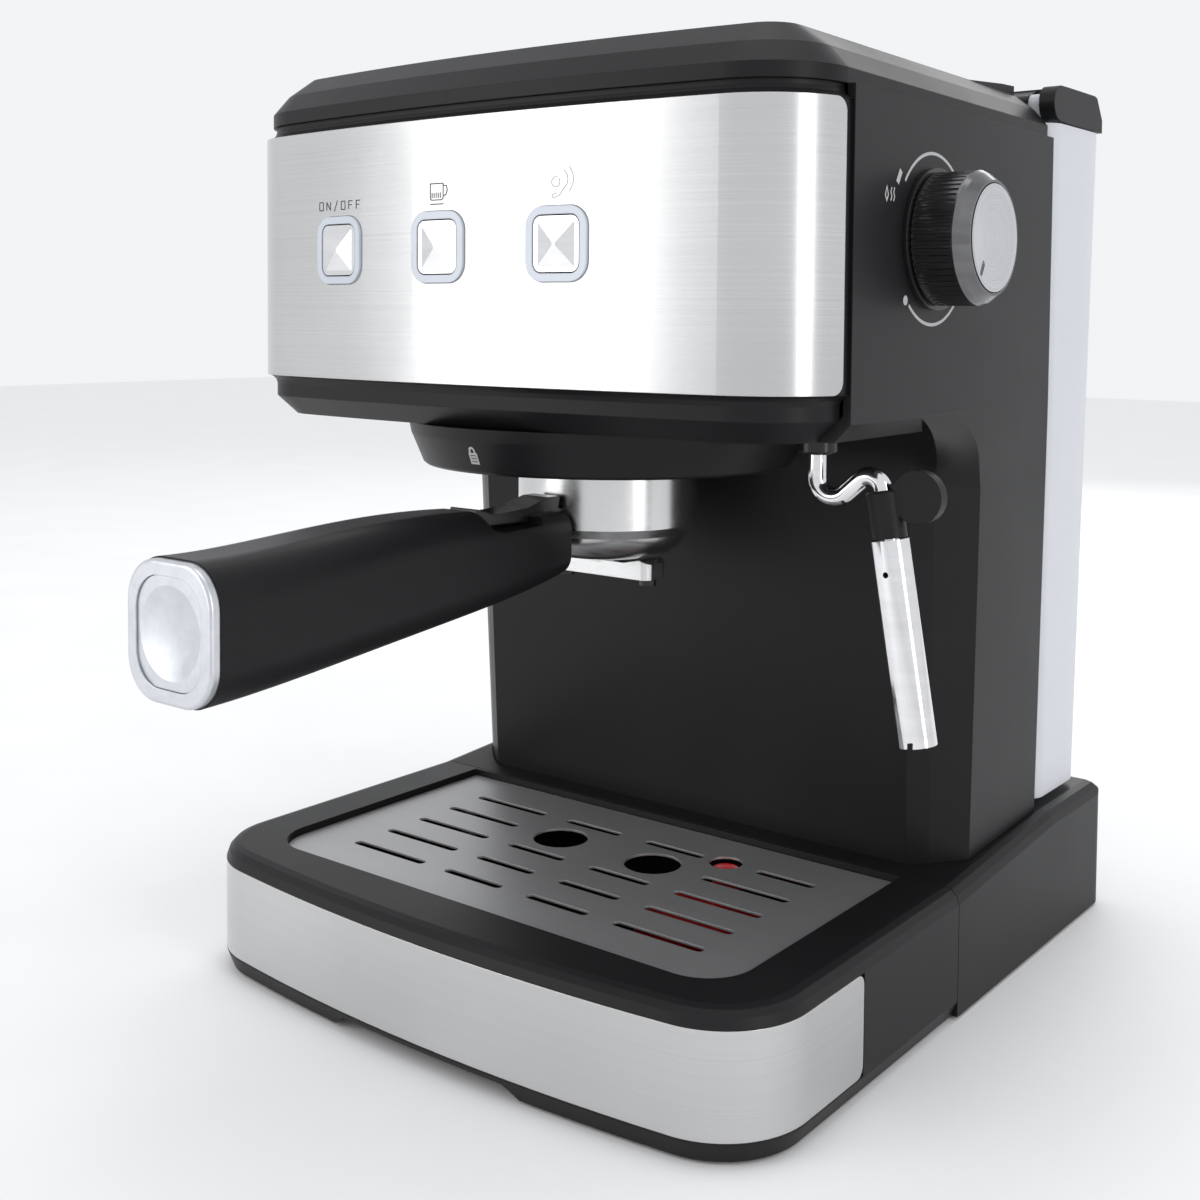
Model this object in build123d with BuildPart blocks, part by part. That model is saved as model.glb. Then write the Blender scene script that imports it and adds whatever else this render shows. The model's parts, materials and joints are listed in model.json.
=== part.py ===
from build123d import *
import os
from math import cos, sin, radians, sqrt

# Home espresso machine with a pump, steam wand, portafilter, drip tray and lift-out water tank.
#
# Millimetres. The machine frame has X = 0 on the plane of symmetry, -Y to the front and Z = 0 on the
# worktop. The planes below move it so that the origin is the bottom centre of the whole object's box.

os.makedirs("parts", exist_ok=True)

# ---------------------------------------------------------------- driving dimensions
half_width = 117.0          # base, tray and the front of the head
rear_half_width = 112.5     # head and tank at the back
wall = 2.6                  # moulded plastic shells
sheet = 1.2                 # stainless steel trim

front_y = -109.5            # middle of the steel front panel
bow = 0.0007                # bow of the head's front: y = front_y + bow * x^2
corner_x = 91.0             # the bowed front ends here and the corner begins
side_start_y = -74.0        # the corner ends here and the side begins
rear_y = 83.0               # back wall of the housing
housing_z = (195.5, 297.0)  # underside and top seam of the head
panel_z = (209.5, 292.5)    # steel front panel
cover_top_z = 314.5

base_rim_z = 44.0           # top of the base and tray
base_bottom_z = 1.2
seam_y = 5.0                # joint between the tray and the fixed base
tray_front_y = -128.8
base_rear_y = 142.5
gland_end_y = 149.0
deck_z = 41.4               # underside of the base's deck

group_y = -34.5             # axis of the brewing group
bowl_radius = 31.0
collar_radii = (69.0, 63.0) # top and bottom of the round skirt
collar_z = (195.3, 180.5)
spout_offset = 18.0
handle_end_y = -218.5

button_x = (-57.5, -10.0, 37.5)
button_z = 252.4
button_names = ("power", "brew", "steam")
ring_size = 22.4
cap_size = 16.6
ring_radius = 6.2

knob_y, knob_z = -20.7, 255.6
knob_radius = 20.5
knob_face_x = 136.0
valve_x = 96.0              # outer end of the steam valve's body

wand_x, wand_y = 90.5, -46.0
pipe_radius = 2.9
wand_tilt = 9.7             # degrees from the vertical
wand_top_z = 183.0
sleeve_radius = 5.8

tank_z = (52.0, 303.0)
tank_rear = (127.5, 134.0)  # bottom and top
tank_half = (110.0, 112.0)
tank_wall = 2.2
outlet_x, outlet_y = 40.0, 106.0
lid_axis_y, lid_axis_z = 91.6, 310.5
lid_top_z = 317.0
lid_front_y = 97.2
lid_half = 111.6

origin_x = (knob_face_x - half_width) / 2
origin_y = (gland_end_y + handle_end_y) / 2


# ---------------------------------------------------------------- planes and axes of the machine
def level(z):
    """Horizontal plane at height z; its local x and y are the machine's X and Y."""
    return Plane(origin=(-origin_x, -origin_y, z))


def facing_front(y):
    """Upright plane at depth y, facing the front; its local x and y are the machine's X and Z."""
    return Plane(origin=(-origin_x, y - origin_y, 0), x_dir=(1, 0, 0), z_dir=(0, -1, 0))


def facing_right(x):
    """Upright plane at x, facing right; its local x and y are the machine's Y and Z."""
    return Plane(origin=(x - origin_x, -origin_y, 0), x_dir=(0, 1, 0), z_dir=(1, 0, 0))


def upright_axis(x, y):
    return Axis((x - origin_x, y - origin_y, 0), (0, 0, 1))


def point(x, y, z):
    return Vector(x - origin_x, y - origin_y, z)


def front_plane(x, z):
    """Plane tangent to the bowed front at x, centred at height z and facing out."""
    slope = 2 * bow * x
    return Plane(
        origin=point(x, front_y + bow * x * x, z), x_dir=(1, slope, 0), z_dir=(slope, -1, 0)
    )


group_axis = upright_axis(0, group_y)
knob_plane = Plane(origin=point(0, knob_y, knob_z), x_dir=(0, 1, 0), z_dir=(1, 0, 0))
knob_axis = Axis(point(0, knob_y, knob_z), (1, 0, 0))
wand_dir = Vector(sin(radians(wand_tilt)), 0, -cos(radians(wand_tilt)))
wand_top = point(wand_x + 22.0, wand_y, wand_top_z)


def wand_plane(distance):
    """Plane across the wand, a distance down its straight part; its local x is the machine's Y."""
    return Plane(origin=wand_top + wand_dir * distance, x_dir=(0, 1, 0), z_dir=wand_dir)


# ---------------------------------------------------------------- outlines used by several pieces
def rounded_front(z, start, front, side_x, slope, back_points):
    """Plan with a bowed front, round corners tangent to it and to the sides, and a given back."""
    corner_radius = (side_x - start[0]) / (1 - slope / sqrt(1 + slope**2))
    end = (side_x, start[1] + corner_radius / sqrt(1 + slope**2))
    with BuildSketch(level(z)) as plan:
        with BuildLine():
            ThreePointArc((-start[0], start[1]), (0, front), start)
            TangentArc(start, end, tangent=(1, slope))
            Polyline(end, *back_points, *[(-x, y) for x, y in reversed(back_points)], (-end[0], end[1]))
            TangentArc((-start[0], start[1]), (-end[0], end[1]), tangent=(-1, slope))
        make_face()
    return plan.sketch


def head_outline(z, inset, back_y=side_start_y, back_half=None):
    """Plan of the head's bowed front, rounded corners and sides, as far back as back_y."""
    if back_half is None:
        back_half = half_width
    side_x = half_width - inset
    back = [(side_x, side_start_y)]
    if back_y > side_start_y:
        back.append((back_half - inset, back_y))
    start = (corner_x, front_y + bow * corner_x**2 + inset)
    return rounded_front(z, start, front_y + inset, side_x, 2 * bow * corner_x, back)


def tray_outline(z, inset, back_y=seam_y - 0.4):
    """Plan of the drip tray: bowed front, rounded front corners, straight sides."""
    start_x, bow_y = 91.0, 5.9
    side_x = half_width - inset
    start = (start_x, tray_front_y + bow_y + inset)
    back = [(side_x, back_y)]
    return rounded_front(z, start, tray_front_y + inset, side_x, 2 * bow_y / start_x, back)


def column_section(z, inner, strip, crease, back_x, inset=0.0):
    """Plan of the column: flat front, narrow strip, bevel, then the side, back to the rear wall."""
    right = [
        (inner[0] - inset, inner[1] + inset),
        (strip[0] - inset, strip[1] + inset),
        (crease[0] - inset, crease[1] + inset),
        (back_x - inset, rear_y - inset),
    ]
    left = [(-x, y) for x, y in reversed(right)]
    with BuildSketch(level(z)) as plan:
        with BuildLine():
            Polyline(*right, *left, close=True)
        make_face()
    return plan.sketch


def rounded_block(plane, width, height, radius):
    with BuildSketch(plane) as face:
        RectangleRounded(width, height, radius)
    return face.sketch


def disc(plane, radius, x=0.0, y=0.0):
    with BuildSketch(plane) as face:
        with Locations((x, y)):
            Circle(radius)
    return face.sketch


def ring(plane, outer, inner, x=0.0, y=0.0):
    with BuildSketch(plane) as face:
        with Locations((x, y)):
            Circle(outer)
            Circle(inner, mode=Mode.SUBTRACT)
    return face.sketch


def box_on(plane, x_span, y_span, radius=0.0):
    """Rectangle given by its spans in the plane's own x and y."""
    width, height = x_span[1] - x_span[0], y_span[1] - y_span[0]
    with BuildSketch(plane) as face:
        with Locations(((x_span[0] + x_span[1]) / 2, (y_span[0] + y_span[1]) / 2)):
            if radius > 0:
                RectangleRounded(width, height, radius)
            else:
                Rectangle(width, height)
    return face.sketch


def save(part, name):
    part.label = name
    export_step(part, f"parts/{name}.step")


# ---------------------------------------------------------------- base
foot_places = [(x, y) for x in (-88, 88) for y in (-88, 120)]
plate_z = (base_bottom_z, 3.2)
column_opening = ((-100, 100), (32, 78))
column_foot = (base_rim_z, (93.0, 13.5), (99.5, 18.5), (109.5, 28.5), 110.5)
boss_places = [(x, y) for x in (-100, 100) for y in (20, 106)]



def base_section(y, shoulder_z):
    """Upright section of the base, with a rounded shoulder below the given top height."""
    right = [
        (half_width, base_bottom_z), (half_width, shoulder_z - 5.1),
        (half_width - 1.0, shoulder_z - 2.4), (half_width - 2.8, shoulder_z - 0.7),
        (half_width - 5.2, shoulder_z),
    ]
    left = [(-x, z) for x, z in reversed(right)]
    with BuildSketch(facing_front(y)) as section:
        with BuildLine():
            Polyline(*right, *left, close=True)
        make_face()
    return section.sketch


shoulder_y, shoulder_z = 86.0, 49.5
with BuildPart() as base_shell:
    loft(sections=[base_section(seam_y, base_rim_z), base_section(shoulder_y, shoulder_z)], ruled=True)
    extrude(base_section(shoulder_y, shoulder_z), amount=-(base_rear_y - shoulder_y))
    # slanting back, then rounded upright corners
    with BuildSketch(facing_right(-half_width - 1)):
        with BuildLine():
            Polyline(
                (seam_y, 0), (137, 0), (base_rear_y, 6), (134.5, 46), (132, shoulder_z),
                (shoulder_y, 60), (seam_y, 60), close=True,
            )
        make_face()
    extrude(amount=2 * half_width + 2, mode=Mode.INTERSECT)
    with BuildSketch(level(0)):
        with Locations((0, base_rear_y / 2)):
            RectangleRounded(2 * half_width, base_rear_y, 12)
        with Locations((0, 25)):
            Rectangle(2 * half_width, 50)
    extrude(amount=60, mode=Mode.INTERSECT)
    # hollow underside with the deck left above it, open at the front for the base plate
    extrude(
        box_on(level(0), (-half_width + wall, half_width - wall), (seam_y + wall, 134), 8),
        amount=deck_z, mode=Mode.SUBTRACT,
    )
    extrude(box_on(level(0), (-111, 111), (seam_y - 1, seam_y + wall + 1)), amount=3.6, mode=Mode.SUBTRACT)
    # seat of the column, the way up into it, and the hole for the tank's outlet
    extrude(column_section(*column_foot, inset=-0.3), amount=20, mode=Mode.SUBTRACT)
    extrude(box_on(level(deck_z - 1), *column_opening), amount=20, mode=Mode.SUBTRACT)
    extrude(disc(level(deck_z - 1), 14, outlet_x, outlet_y), amount=20, mode=Mode.SUBTRACT)
    # bosses for the base plate's screws, and the hole for the mains gland at the back
    for x, y in boss_places:
        extrude(disc(level(3.3), 5.0, x, y), amount=deck_z - 3.2)
        extrude(disc(level(3.2), 1.6, x, y), amount=16, mode=Mode.SUBTRACT)
    extrude(disc(facing_front(150), 5.0, -70, 20), amount=30, mode=Mode.SUBTRACT)
save(base_shell.part, "base_shell")

with BuildPart() as base_plate:
    extrude(box_on(level(plate_z[0]), (-110, 110), (-100, 132), 20), amount=plate_z[1] - plate_z[0])
    for x, y in foot_places:
        extrude(disc(level(0), 4.1, x, y), amount=6, mode=Mode.SUBTRACT)
    for x, y in boss_places:
        extrude(disc(level(0), 1.8, x, y), amount=6, mode=Mode.SUBTRACT)
    for x in range(-60, 61, 12):
        extrude(
            box_on(level(0), (x - 2, x + 2), (40, 74), 1.9), amount=6, mode=Mode.SUBTRACT
        )
save(base_plate.part, "base_plate")

with BuildPart() as rubber_feet:
    for x, y in foot_places:
        extrude(disc(level(0), 8, x, y), amount=plate_z[0])
        extrude(disc(level(plate_z[0]), 4.0, x, y), amount=2.1)
        extrude(disc(level(plate_z[1]), 5.2, x, y), amount=1.2)
save(rubber_feet.part, "rubber_feet")

with BuildPart() as cord_gland:
    extrude(ring(facing_front(gland_end_y), 7.5, 3.6, -70, 20), amount=gland_end_y - 141.4)
    extrude(ring(facing_front(141.4), 4.9, 3.6, -70, 20), amount=7.4)
    extrude(ring(facing_front(134.0), 8.0, 3.6, -70, 20), amount=3.0)
save(cord_gland.part, "cord_gland")

# ---------------------------------------------------------------- housing: head and column in one shell
# height, front inner corner, strip, crease, back half-width
column_levels = [
    column_foot,
    (174.5, (95.0, 8.0), (101.5, 13.0), (113.0, 24.0), 112.2),
]
arch_levels = [
    (174.5, (95.0, 8.0), (101.5, 13.0), (113.0, 24.0), 112.2),
    (185.0, (96.6, 4.4), (106.0, 5.0), (113.6, 21.0), 112.3),
    (191.0, (99.5, -2.0), (110.8, -6.5), (114.1, 17.0), 112.4),
    (197.5, (104.0, -16.0), (114.4, -19.0), (114.6, 6.0), 112.45),
    (202.0, (106.0, -24.0), (115.5, -30.0), (115.1, -5.0), 112.5),
]
group_hole = 40.7


def head_block(inset, bottom, top, y_front, y_back):
    """The head behind the bezel, as a loft from its front section to its rear section."""
    bevel = 5.5
    sections = []
    for y, half in ((y_front, half_width), (y_back, rear_half_width)):
        x = half - inset
        with BuildSketch(facing_front(y)) as section:
            with BuildLine():
                Polyline(
                    (-x, top), (-x, bottom + bevel), (-x + bevel, bottom), (x - bevel, bottom),
                    (x, bottom + bevel), (x, top), close=True,
                )
            make_face()
        sections.append(section.sketch)
    return sections


with BuildPart() as housing:
    loft(sections=head_block(0, *housing_z, side_start_y, rear_y), ruled=True)
    loft(sections=[column_section(*step) for step in column_levels], ruled=True)
    loft(sections=[column_section(*step) for step in arch_levels])
    # inside, open to the top, the front and the base
    loft(
        sections=head_block(wall, housing_z[0] + wall, housing_z[1] + 1, side_start_y - 1, rear_y - wall),
        ruled=True, mode=Mode.SUBTRACT,
    )
    loft(
        sections=[
            column_section(base_rim_z - 1, (93.0, 13.5), (99.5, 18.5), (109.5, 28.5), 110.5, wall),
            column_section(housing_z[0] + 8, (95.0, 7.0), (101.5, 12.0), (112.4, 24.0), 112.0, wall),
        ],
        ruled=True, mode=Mode.SUBTRACT,
    )
    extrude(disc(level(177), group_hole, 0, group_y), amount=22, mode=Mode.SUBTRACT)
    extrude(disc(level(190), 4.2, wand_x, wand_y), amount=12, mode=Mode.SUBTRACT)
    extrude(disc(knob_plane.offset(100), 6.0), amount=25, mode=Mode.SUBTRACT)
save(housing.part, "housing")


# ---------------------------------------------------------------- front bezel and steel panel
def stack(steps, back_y=side_start_y, back_half=None):
    """Ruled lofts between outlines given as (height, inset)."""
    for (z0, inset0), (z1, inset1) in zip(steps, steps[1:]):
        loft(
            sections=[
                head_outline(z0, inset0, back_y, back_half),
                head_outline(z1, inset1, back_y, back_half),
            ],
            ruled=True,
        )


low, high = panel_z
with BuildPart() as front_bezel:
    stack([
        (housing_z[0], 11.0), (202.0, 3.6), (206.3, 3.6), (207.8, 3.1), (208.8, 2.0),
        (low, 0.5),
    ])
    stack([(low, sheet), (high, sheet)])
    stack([(high, 0.5), (293.2, 2.0), (294.2, 3.1), (295.4, 3.6), (housing_z[1], 3.6)])
    extrude(head_outline(198.0, 14.0), amount=6, mode=Mode.SUBTRACT)
    extrude(head_outline(204.0, 6.6), amount=100, mode=Mode.SUBTRACT)
    extrude(disc(level(190), group_hole, 0, group_y), amount=12, mode=Mode.SUBTRACT)
    for x in button_x:
        hole = rounded_block(front_plane(x, button_z), ring_size + 0.3, ring_size + 0.3, ring_radius + 0.1)
        extrude(hole, amount=14, both=True, mode=Mode.SUBTRACT)
save(front_bezel.part, "front_bezel")

panel_end_y = -78.2
with BuildPart() as front_panel:
    extrude(head_outline(low, 0.0), amount=high - low)
    extrude(head_outline(low - 1, sheet), amount=high - low + 2, mode=Mode.SUBTRACT)
    with BuildSketch(facing_right(-half_width - 5)):
        with BuildLine():
            Polyline((-130, low), (panel_end_y - 4, low))
            ThreePointArc(
                (panel_end_y - 4, low), (panel_end_y - 1.2, low + 1.2), (panel_end_y, low + 4)
            )
            Line((panel_end_y, low + 4), (panel_end_y, high - 4))
            ThreePointArc(
                (panel_end_y, high - 4), (panel_end_y - 1.2, high - 1.2), (panel_end_y - 4, high)
            )
            Polyline((panel_end_y - 4, high), (-130, high), (-130, low))
        make_face()
    extrude(amount=2 * half_width + 10, mode=Mode.INTERSECT)
    for x in button_x:
        hole = rounded_block(front_plane(x, button_z), ring_size + 0.3, ring_size + 0.3, ring_radius + 0.1)
        extrude(hole, amount=14, both=True, mode=Mode.SUBTRACT)
save(front_panel.part, "front_panel")

# ---------------------------------------------------------------- top cover
cover_back_y = rear_y
with BuildPart() as top_cover:
    stack(
        [(housing_z[1], 2.4), (301.5, 2.4), (308.0, 8.0), (cover_top_z, 17.0)],
        cover_back_y, rear_half_width,
    )
    for (z0, inset0), (z1, inset1) in (((296.9, 5.4), (301.0, 5.4)), ((300.9, 5.4), (311.5, 18.5))):
        loft(
            sections=[
                head_outline(z0, inset0, cover_back_y - wall, rear_half_width),
                head_outline(z1, inset1, cover_back_y - wall, rear_half_width),
            ],
            ruled=True, mode=Mode.SUBTRACT,
        )
    # shallow recess where cups stand, with ribs left standing in it
    extrude(
        box_on(level(cover_top_z - 1.6), (-86, 86), (-82, 38), 10), amount=2, mode=Mode.SUBTRACT
    )
    for x in range(-72, 73, 12):
        extrude(
            box_on(level(cover_top_z - 1.7), (x - 1.2, x + 1.2), (-74, 30), 1.1), amount=1.7
        )
    # the back rises to the level of the tank's lid
    with BuildSketch(facing_right(-97)):
        with BuildLine():
            Polyline(
                (44, cover_top_z - 2.4), (44, cover_top_z - 0.2), (72, lid_top_z - 0.6),
                (cover_back_y, lid_top_z - 0.2), (cover_back_y, cover_top_z - 2.4), close=True,
            )
        make_face()
    extrude(amount=194)
save(top_cover.part, "top_cover")

# ---------------------------------------------------------------- brewing group
with BuildPart() as group_collar:
    with BuildSketch(facing_front(group_y)):
        with BuildLine():
            Polyline(
                (44.0, collar_z[0]), (collar_radii[0], collar_z[0]),
                (collar_radii[0] - 0.8, collar_z[0] - 4), (collar_radii[1] + 1.0, collar_z[1] + 0.8),
                (collar_radii[1], collar_z[1]), (collar_radii[1] - 2.0, collar_z[1]),
                (collar_radii[0] - 5.0, collar_z[0] - 2.4), (44.0, collar_z[0] - 2.4), close=True,
            )
        make_face()
    revolve(axis=group_axis)
    # the back of the skirt dies into the column
    loft(sections=[column_section(*step, inset=-0.2) for step in arch_levels], mode=Mode.SUBTRACT)
save(group_collar.part, "group_collar")

with BuildPart() as group_head:
    with BuildSketch(facing_front(group_y)):
        with BuildLine():
            Polyline(
                (0, 188.5), (38.2, 188.5), (38.2, 181.3), (31.8, 181.3), (31.8, 178.4), (40.3, 178.4),
                (40.3, 198.2), (0, 198.2), close=True,
            )
        make_face()
    revolve(axis=group_axis)
    # two slots that let the portafilter's lugs in, where they stand when it is unlocked
    for turn in (-45, 135):
        with BuildSketch(level(178)):
            with Locations((0, group_y)):
                with PolarLocations(34.5, 1, start_angle=turn):
                    Rectangle(9, 19)
        extrude(amount=5, mode=Mode.SUBTRACT)
    # groove for the gasket, and the water way
    extrude(ring(level(188.4), 31.2, 25.0, 0, group_y), amount=2.6, mode=Mode.SUBTRACT)
    extrude(disc(level(188), 2.0, 0, group_y), amount=12, mode=Mode.SUBTRACT)
save(group_head.part, "group_head")

with BuildPart() as group_gasket:
    extrude(ring(level(184.4), 31.0, 25.2, 0, group_y), amount=6.5)
save(group_gasket.part, "group_gasket")

screen_z = 184.6
with BuildPart() as shower_screen:
    extrude(disc(level(screen_z), 24.6, 0, group_y), amount=1.0)
    extrude(ring(level(screen_z), 24.6, 23.6, 0, group_y), amount=3.8)
    with BuildSketch(level(screen_z - 1)):
        with Locations((0, group_y)):
            for radius, count in ((8, 8), (13, 12), (18, 18)):
                with PolarLocations(radius, count):
                    Circle(0.9)
            Circle(2.1)
    extrude(amount=3, mode=Mode.SUBTRACT)
save(shower_screen.part, "shower_screen")

with BuildPart() as shower_screw:
    extrude(disc(level(screen_z - 1.6), 4.2, 0, group_y), amount=1.6)
    extrude(disc(level(screen_z - 1.6), 1.9, 0, group_y), amount=9.0)
    extrude(box_on(level(screen_z - 1.7), (-3.2, 3.2), (group_y - 0.5, group_y + 0.5)),
            amount=0.9, mode=Mode.SUBTRACT)
save(shower_screw.part, "shower_screw")

with BuildPart() as boiler:
    extrude(disc(level(198.3), 42.5, 0, group_y), amount=33.7)
    fillet(boiler.edges().group_by(Axis.Z)[-1], radius=5)
    for turn in range(0, 360, 60):
        x, y = 46.5 * cos(radians(turn + 30)), group_y + 46.5 * sin(radians(turn + 30))
        extrude(disc(level(212.0), 5.5, x, y), amount=10)
    extrude(disc(level(230), 5.0, 0, group_y), amount=9)
    extrude(disc(level(198.2), 34.0, 0, group_y), amount=26, mode=Mode.SUBTRACT)
save(boiler.part, "boiler")

with BuildPart() as heating_element:
    element_path = Wire.make_circle(26, Plane(origin=point(0, group_y, 206)))
    with BuildSketch(Plane(origin=point(26, group_y, 206), x_dir=(1, 0, 0), z_dir=(0, 1, 0))):
        Circle(3.2)
    sweep(path=element_path)
save(heating_element.part, "heating_element")

with BuildPart() as thermostats:
    for x in (-22, 22):
        extrude(disc(level(232.1), 7.5, x, group_y), amount=5)
        extrude(disc(level(237.1), 3.0, x, group_y), amount=5)
save(thermostats.part, "thermostats")

# ---------------------------------------------------------------- pump, hoses and steam valve
pump_x, pump_y, pump_z = 20.0, 50.0, 66.0
with BuildPart() as pump:
    extrude(disc(level(pump_z), 11, pump_x, pump_y), amount=86)
    extrude(
        box_on(level(pump_z + 22), (pump_x - 19, pump_x + 19), (pump_y - 17, pump_y + 17), 3), amount=40
    )
    extrude(disc(level(pump_z - 8), 3.5, pump_x, pump_y), amount=9)
    extrude(disc(level(pump_z + 85), 3.5, pump_x, pump_y), amount=10)
    extrude(disc(level(pump_z + 10), 6.2, pump_x, pump_y), amount=60, mode=Mode.SUBTRACT)
save(pump.part, "pump")

with BuildPart() as pump_plunger:
    extrude(disc(level(pump_z + 26), 5.8, pump_x, pump_y), amount=28)
    extrude(disc(level(pump_z + 26), 2.4, pump_x, pump_y), amount=28, mode=Mode.SUBTRACT)
save(pump_plunger.part, "pump_plunger")

with BuildPart() as pump_mounts:
    for z in (pump_z + 12, pump_z + 68):
        extrude(ring(level(z), 15.0, 11.05, pump_x, pump_y), amount=7)
        extrude(
            box_on(level(z), (pump_x - 5, pump_x + 5), (pump_y + 14, rear_y - wall)), amount=7
        )
save(pump_mounts.part, "pump_mounts")

with BuildPart() as suction_hose:
    with BuildLine() as suction_line:
        FilletPolyline(
            point(outlet_x, outlet_y, 35.0), point(outlet_x, outlet_y, 14),
            point(outlet_x, 60, 14), point(pump_x, pump_y, 30), point(pump_x, pump_y, pump_z - 8.1),
            radius=(8, 6, 8),
        )
    with BuildSketch(suction_line.line ^ 0):
        Circle(3.2)
    sweep()
save(suction_hose.part, "suction_hose")

with BuildPart() as pressure_hose:
    with BuildLine() as pressure_line:
        FilletPolyline(
            point(pump_x, pump_y, pump_z + 95.1), point(pump_x, pump_y, 262),
            point(0, group_y, 262), point(0, group_y, 239.1),
            radius=(14, 14),
        )
    with BuildSketch(pressure_line.line ^ 0):
        Circle(2.6)
    sweep()
save(pressure_hose.part, "pressure_hose")

with BuildPart() as tank_seat:
    with BuildSketch(facing_front(outlet_y)):
        with BuildLine():
            Polyline(
                (outlet_x + 3.0, 35.1), (outlet_x + 6.0, 35.1), (outlet_x + 6.0, 40.6),
                (outlet_x + 18, 40.6), (outlet_x + 18, 41.3), (outlet_x + 13.6, 41.3),
                (outlet_x + 13.6, 49.6), (outlet_x + 9.2, 49.6), (outlet_x + 9.2, 43.0),
                (outlet_x + 3.0, 43.0), close=True,
            )
        make_face()
    revolve(axis=upright_axis(outlet_x, outlet_y))
    # spider and pin that lift the tank's valve
    extrude(box_on(level(40.6), (outlet_x - 4, outlet_x + 4), (outlet_y - 1, outlet_y + 1)), amount=1.6)
    extrude(disc(level(41.0), 1.6, outlet_x, outlet_y), amount=5.0)
save(tank_seat.part, "tank_seat")

with BuildPart() as steam_valve:
    extrude(disc(knob_plane.offset(62), 9.0), amount=valve_x - 62)
    extrude(disc(knob_plane.offset(54), 4.0), amount=9)
    extrude(disc(level(225), 4.5, 78, knob_y), amount=24)
    extrude(disc(knob_plane.offset(66), 5.2), amount=40, mode=Mode.SUBTRACT)
    extrude(disc(level(224), 2.0, 78, knob_y), amount=24, mode=Mode.SUBTRACT)
save(steam_valve.part, "steam_valve")

with BuildPart() as valve_spindle:
    extrude(disc(knob_plane.offset(88), 5.1), amount=6)
    extrude(disc(knob_plane.offset(94), 3.5), amount=34)
    extrude(disc(knob_plane.offset(87), 2.1), amount=10.5, mode=Mode.SUBTRACT)
save(valve_spindle.part, "valve_spindle")

with BuildPart() as valve_needle:
    with BuildSketch(Plane(origin=point(0, knob_y, knob_z), x_dir=(1, 0, 0), z_dir=(0, -1, 0))):
        with BuildLine():
            Polyline((67, 0), (71, 2.6), (71, 4.9), (79, 4.9), (79, 2.0), (91, 2.0), (91, 0), close=True)
        make_face()
    revolve(axis=knob_axis)
save(valve_needle.part, "valve_needle")

with BuildPart() as steam_tubes:
    with BuildLine() as steam_line:
        FilletPolyline(
            point(78, knob_y, 224.9), point(78, knob_y, 212), point(wand_x, wand_y, 208),
            point(wand_x, wand_y, 196.2),
            radius=(4, 4),
        )
    with BuildSketch(steam_line.line ^ 0):
        Circle(2.4)
    sweep()
    with BuildLine() as boiler_line:
        FilletPolyline(
            point(34, group_y, 232.2), point(34, group_y, 247), point(34, knob_y, knob_z),
            point(53.9, knob_y, knob_z),
            radius=(3, 3),
        )
    with BuildSketch(boiler_line.line ^ 0):
        Circle(2.4)
    sweep()
save(steam_tubes.part, "steam_tubes")

# ---------------------------------------------------------------- controls
with BuildPart() as control_board:
    extrude(box_on(facing_front(-84.4), (-74, 56), (224, 282), 2), amount=1.6)
    for x, height in ((-34, 9), (14, 6)):
        extrude(box_on(facing_front(-84.4), (x - 6, x + 6), (227, 243)), amount=-height)
save(control_board.part, "control_board")

with BuildPart() as button_switches:
    for x in button_x:
        extrude(box_on(facing_front(-86.1), (x - 6, x + 6), (button_z - 6, button_z + 6)), amount=4.5)
        extrude(disc(facing_front(-90.6), 2.6, x, button_z), amount=1.4)
save(button_switches.part, "button_switches")

facet = cap_size / 2 - 1.0
for name, x in zip(button_names, button_x):
    place = front_plane(x, button_z)
    with BuildPart() as light_ring:
        extrude(rounded_block(place.offset(-4.5), ring_size, ring_size, ring_radius), amount=5.2)
        extrude(
            rounded_block(place.offset(-5), cap_size + 0.8, cap_size + 0.8, 3.2),
            amount=8, mode=Mode.SUBTRACT,
        )
    save(light_ring.part, f"light_ring_{name}")

    with BuildPart() as button:
        extrude(rounded_block(place.offset(-3.5), cap_size, cap_size, 2.8), amount=4.0)
        # shallow four-sided pyramid on the cap's face
        loft(
            sections=[
                box_on(place.offset(0.4), (-facet, facet), (-facet, facet)),
                box_on(place.offset(1.7), (-0.4, 0.4), (-0.4, 0.4)),
            ],
            ruled=True,
        )
        extrude(disc(place.offset(-12.5), 2.8), amount=9.2)
    save(button.part, f"button_{name}")

side_run = Vector(rear_half_width - half_width, rear_y - side_start_y, 0)
side_plane = Plane(
    origin=point(half_width + 0.05, side_start_y, 0), x_dir=side_run, z_dir=(side_run.Y, -side_run.X, 0)
)
with BuildPart() as knob_escutcheon:
    extrude(ring(knob_plane.offset(112.0), 21.8, 6.0), amount=5.6)
    split(bisect_by=side_plane, keep=Keep.TOP)
save(knob_escutcheon.part, "knob_escutcheon")

knurls = 60
with BuildPart() as steam_knob:
    with BuildSketch(Plane(origin=point(0, knob_y, knob_z), x_dir=(1, 0, 0), z_dir=(0, -1, 0))):
        with BuildLine():
            Polyline(
                (117.9, 17.2), (117.9, knob_radius - 0.5), (118.4, knob_radius),
                (knob_face_x - 4.6, knob_radius), (knob_face_x - 3.2, knob_radius - 0.8),
                (knob_face_x - 0.4, 17.4), (knob_face_x - 0.4, 16.6), (knob_face_x - 2.2, 16.2),
                (knob_face_x - 2.2, 17.2), close=True,
            )
        make_face()
    revolve(axis=knob_axis)
    with BuildSketch(knob_plane.offset(117.5)):
        with PolarLocations(knob_radius + 0.35, knurls):
            Circle(0.75)
    extrude(amount=13.2, mode=Mode.SUBTRACT)
save(steam_knob.part, "steam_knob")

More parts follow.
